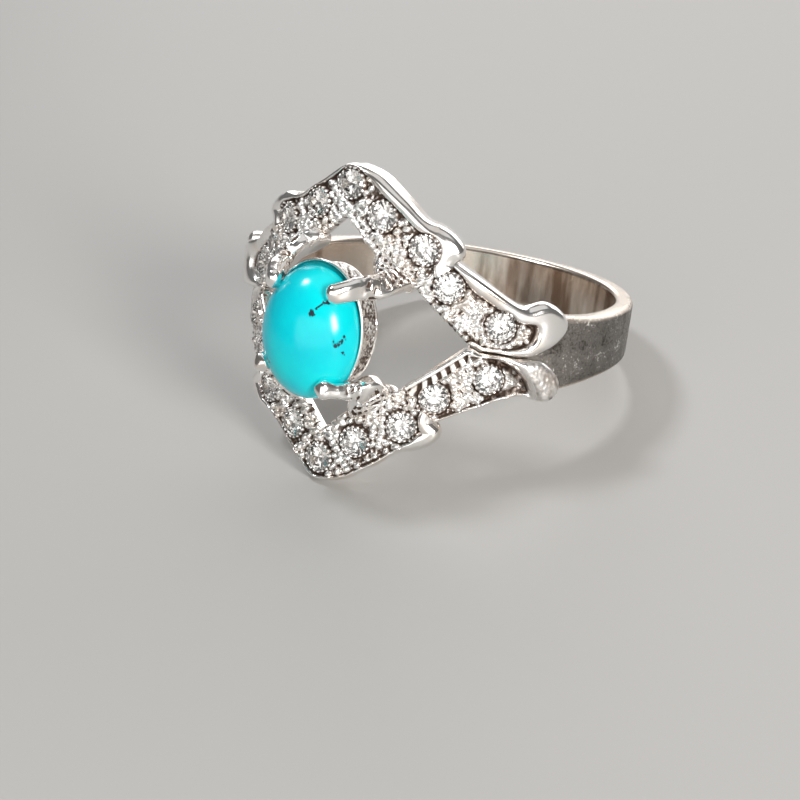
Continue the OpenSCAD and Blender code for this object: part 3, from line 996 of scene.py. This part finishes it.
def bar(name, side, up):
    claw = CLAW_UPPER if up > 0 else CLAW_LOWER
    spine = curve_through([(2.98, 3.24, 9.5), (3.04, 3.07, 10.05)] + claw[:3], 190)
    t = np.linspace(0, 1, len(spine))
    side_dir = np.array([-0.86, 0.49, 0.2]) * (1 - t[:, None]) + CLAW_FOOT_SIDE * t[:, None]
    close = np.sqrt(np.clip(1 - (np.clip(t - 0.72, 0, 1) / 0.28) ** 2, 0, 1)) * 0.35 + 0.65
    half_w = (1.24 - 0.60 * smooth(t, 0.0, 0.75)) * close
    # the bar spreads toward the head's middle line, more on the lower pair
    spread = (0.16 if up > 0 else 0.42) * (1 - smooth(t, 0.25, 0.75))
    if up > side:
        spread = 0.42 * (1 - smooth(t, 0.5, 0.95))
    trim = (0.0 if up > 0 else 0.24) * (1 - smooth(t, 0.35, 0.85))
    # the lower pair also reaches up to the basket's foot
    reach = (0.0 if up > 0 else 0.14) * np.exp(-((t - 0.62) / 0.22) ** 2)
    half_w = half_w + spread - trim + reach
    across = side_dir / np.linalg.norm(side_dir, axis=1, keepdims=True)
    spine = spine + across * (spread + trim - reach)[:, None]
    half_t = (0.50 - 0.04 * t) * close
    seed = 70 + side + 3 * up
    rng = np.random.default_rng(seed)
    pits = [(a + rng.uniform(-0.06, 0.06), b + rng.uniform(-0.07, 0.07), rng.uniform(0.10, 0.17))
            for a in np.arange(0.1, 2.4, 0.34) for b in np.arange(-1.2, 1.3, 0.33)]

    def relief(flat, cx, sy):
        along = (t * 2.5)[:, None]
        over = half_w[:, None] * cx[None]
        x, y, z = flat[..., 0], flat[..., 1], flat[..., 2]
        face = smooth(sy, 0.2, 0.5)[None]
        rim = smooth(over + half_w[:, None], 0.22, 0.34)
        zone = face * rim * (1 - smooth(t, 0.72, 0.86))[:, None]
        hole = np.zeros(x.shape)
        for a, b, r in pits:
            hole = np.maximum(hole, np.clip(1 - ((along - a) ** 2 + (over - b) ** 2) / (r * r), 0, 1))
        lump = noise(x * 6, y * 6, z * 6, seed=seed)
        depth = zone * (0.05 * np.clip(lump, -0.6, 0.6) - 0.15 * np.sqrt(hole) - 0.02)
        # painted shade in the pits and low lumps of the textured top
        bright = 1 - zone * (smooth(hole, 0.05, 0.45) + 0.25 * smooth(-lump, 0.1, 0.6))
        return depth, np.stack([np.clip(bright, 0, 1), 1 - 0.6 * zone], -1)

    return tube(name, np.array([side, up, 1.0]), spine, side_dir, half_w, half_t, 84, relief, power=0.55)


# ---------------------------------------------------------------- build
head_metal = silver("head_silver_cast")
prong_metal = silver("prong_silver_bright", rough_bright=0.14, rough_grain=0.22)
basket_metal = silver("basket_silver_bark", rough_bright=0.2, rough_grain=0.36, bump_depth=2.5e-5,
                      stain_scale=7000, stain_gain=1.9)
band_metal = sandy("band_silver_sand")
stone_glass = brilliant("clear_brilliant")


def on_cab(u, w):
    """A point on the cabochon's dome, in metres."""
    inside = 1 - ((u - CAB_SHIFT[0]) / CAB_A) ** 2 - ((w - CAB_SHIFT[1]) / CAB_B) ** 2
    return tuple(world(u, w, DOME_LOW + CAB_DOME * math.sqrt(max(0, inside))))


# (u, w, radius) of the matrix: a round spot with a vein to a longer one, and two small groups
MATRIX = [(1.08, 1.12, 0.18), (1.21, 1.38, 0.055), (1.27, 1.44, 0.045), (1.31, 1.52, 0.045),
          (1.38, 1.57, 0.06), (1.43, 1.66, 0.09), (1.54, 1.72, 0.13), (1.66, 1.74, 0.12),
          (2.26, -0.30, 0.13), (2.36, -0.24, 0.08), (2.38, -0.08, 0.06), (2.45, -0.06, 0.12),
          (2.52, 0.06, 0.05), (2.48, 0.16, 0.08), (2.20, -0.10, 0.05), (2.49, -0.62, 0.08),
          (2.53, -0.74, 0.05), (-1.30, -1.90, 0.08), (-1.38, -1.82, 0.06)]
SPOTS = [(on_cab(u, w), r * MM) for u, w, r in MATRIX]
cab_stone = turquoise("turquoise_polished", SPOTS)

settle(fix_normals(band("ring_band")), "shank", band_metal)
for up, word in ((1, "upper"), (-1, "lower")):
    settle(fix_normals(crown("arm_crown_" + word, up)), "crown_" + word, head_metal)
    settle(stone_mesh("brilliant_" + word + "_point", *POINT_STONE, HEAD_R - STONE_SINK, (1, up), 1),
           "stone_" + word + "_point", stone_glass)
    for side, hand in ((1, "right"), (-1, "left")):
        place = word + "_" + hand
        settle(fix_normals(shoulder("arm_shoulder_" + place, side, up)), "shoulder_" + place,
               head_metal)
        settle(fix_normals(bar("carrier_bar_" + place, side, up)), "bar_" + place, head_metal)
        settle(fix_normals(prong("claw_" + place, side, up)), "prong_" + place, prong_metal)
        for k, (s, w) in enumerate(STONES[:3] + [last_stone(side, up)]):
            r = (HEAD_R if k < 2 else STEP_R) - STONE_SINK
            settle(stone_mesh(f"brilliant_{place}_{k + 1}", s, w, r, (side, up), k + 2),
                   f"stone_{place}_{k + 1}", stone_glass)
settle(fix_normals(basket("bark_basket")), "basket", basket_metal)
settle(fix_normals(cabochon("turquoise_cabochon")), "cabochon", cab_stone)
for o in bpy.context.scene.objects:
    if o.name.startswith("brilliant_"):
        fix_normals(o)

# ---------------------------------------------------------------- floor, light, camera
floor_mesh = bpy.data.meshes.new("floor")
HALF_FLOOR = 8.0
corners = [(x * HALF_FLOOR, y * HALF_FLOOR, 0) for x, y in ((-1, -1), (1, -1), (1, 1), (-1, 1))]
floor_mesh.from_pydata(corners, [], [(0, 1, 2, 3)])
floor = bpy.data.objects.new("floor", floor_mesh)
bpy.context.scene.collection.objects.link(floor)
floor_material, _, floor_shader = new_material("pale_floor")
floor_shader.inputs["Base Color"].default_value = (0.42, 0.413, 0.40, 1)
floor_shader.inputs["Roughness"].default_value = 0.55
floor.data.materials.append(floor_material)

world_data = bpy.data.worlds.new("studio")
bpy.context.scene.world = world_data
world_data.use_nodes = True
background = world_data.node_tree.nodes["Background"]
background.inputs["Color"].default_value = (0.86, 0.85, 0.84, 1)
background.inputs["Strength"].default_value = 0.16


def lamp(name, where, aim, size, power, colour):
    """A soft rectangular light. Places and sizes are in metres, power in watts."""
    data = bpy.data.lights.new(name, "AREA")
    data.shape = "RECTANGLE"
    data.size, data.size_y = size
    data.energy = power
    data.color = colour
    o = bpy.data.objects.new(name, data)
    bpy.context.scene.collection.objects.link(o)
    o.location = where
    o.rotation_mode = "QUATERNION"
    o.rotation_quaternion = (Vector(where) - Vector(aim)).to_track_quat("Z", "Y")


AIM = (0.0, -0.004, 0.006)
lamp("key_softbox", (0.217, -0.102, 0.110), AIM, (0.06, 0.09), 0.62, (1.0, 0.965, 0.93))
lamp("front_softbox", (0.16, -0.50, 0.16), AIM, (0.80, 0.36), 1.3, (1.0, 0.99, 0.97))
lamp("back_softbox", (-0.06, 0.34, 0.11), AIM, (0.60, 0.20), 0.9, (1.0, 0.98, 0.97))
lamp("top_softbox", (-0.13, -0.02, 0.24), AIM, (0.05, 0.05), 0.30, (0.96, 0.98, 1.0))
lamp("overhead_panel", (0.05, 0.10, 0.42), AIM, (0.50, 0.40), 0.36, (1.0, 0.99, 0.98))

# the camera's angles, its distance and its sideways and upward shift in mm, and its lens
AZIMUTH, ELEVATION, ROLL = math.radians(36.996), math.radians(30.906), math.radians(-4.419)
DISTANCE, SHIFT_RIGHT, SHIFT_UP = 100.79, -2.970, -1.259
SENSOR, LENS = 36, 81.072

back = Vector((math.sin(AZIMUTH) * math.cos(ELEVATION), -math.cos(AZIMUTH) * math.cos(ELEVATION),
               math.sin(ELEVATION)))
right = Vector((0, 0, 1)).cross(back).normalized()
upward = back.cross(right)
cam_data = bpy.data.cameras.new("camera")
cam = bpy.data.objects.new("camera", cam_data)
bpy.context.scene.collection.objects.link(cam)
cam.location = (right * SHIFT_RIGHT + upward * SHIFT_UP + back * DISTANCE + Vector((0, CENTRE[1], 0))) * MM
rolled_right = right * math.cos(ROLL) + upward * math.sin(ROLL)
rolled_up = upward * math.cos(ROLL) - right * math.sin(ROLL)
cam.rotation_mode = "QUATERNION"
cam.rotation_quaternion = Matrix((rolled_right, rolled_up, back)).transposed().to_quaternion()
cam_data.sensor_width = SENSOR
cam_data.lens = LENS
cam_data.clip_start, cam_data.clip_end = 0.005, 5
bpy.context.scene.camera = cam
bpy.context.scene.view_settings.view_transform = "Standard"
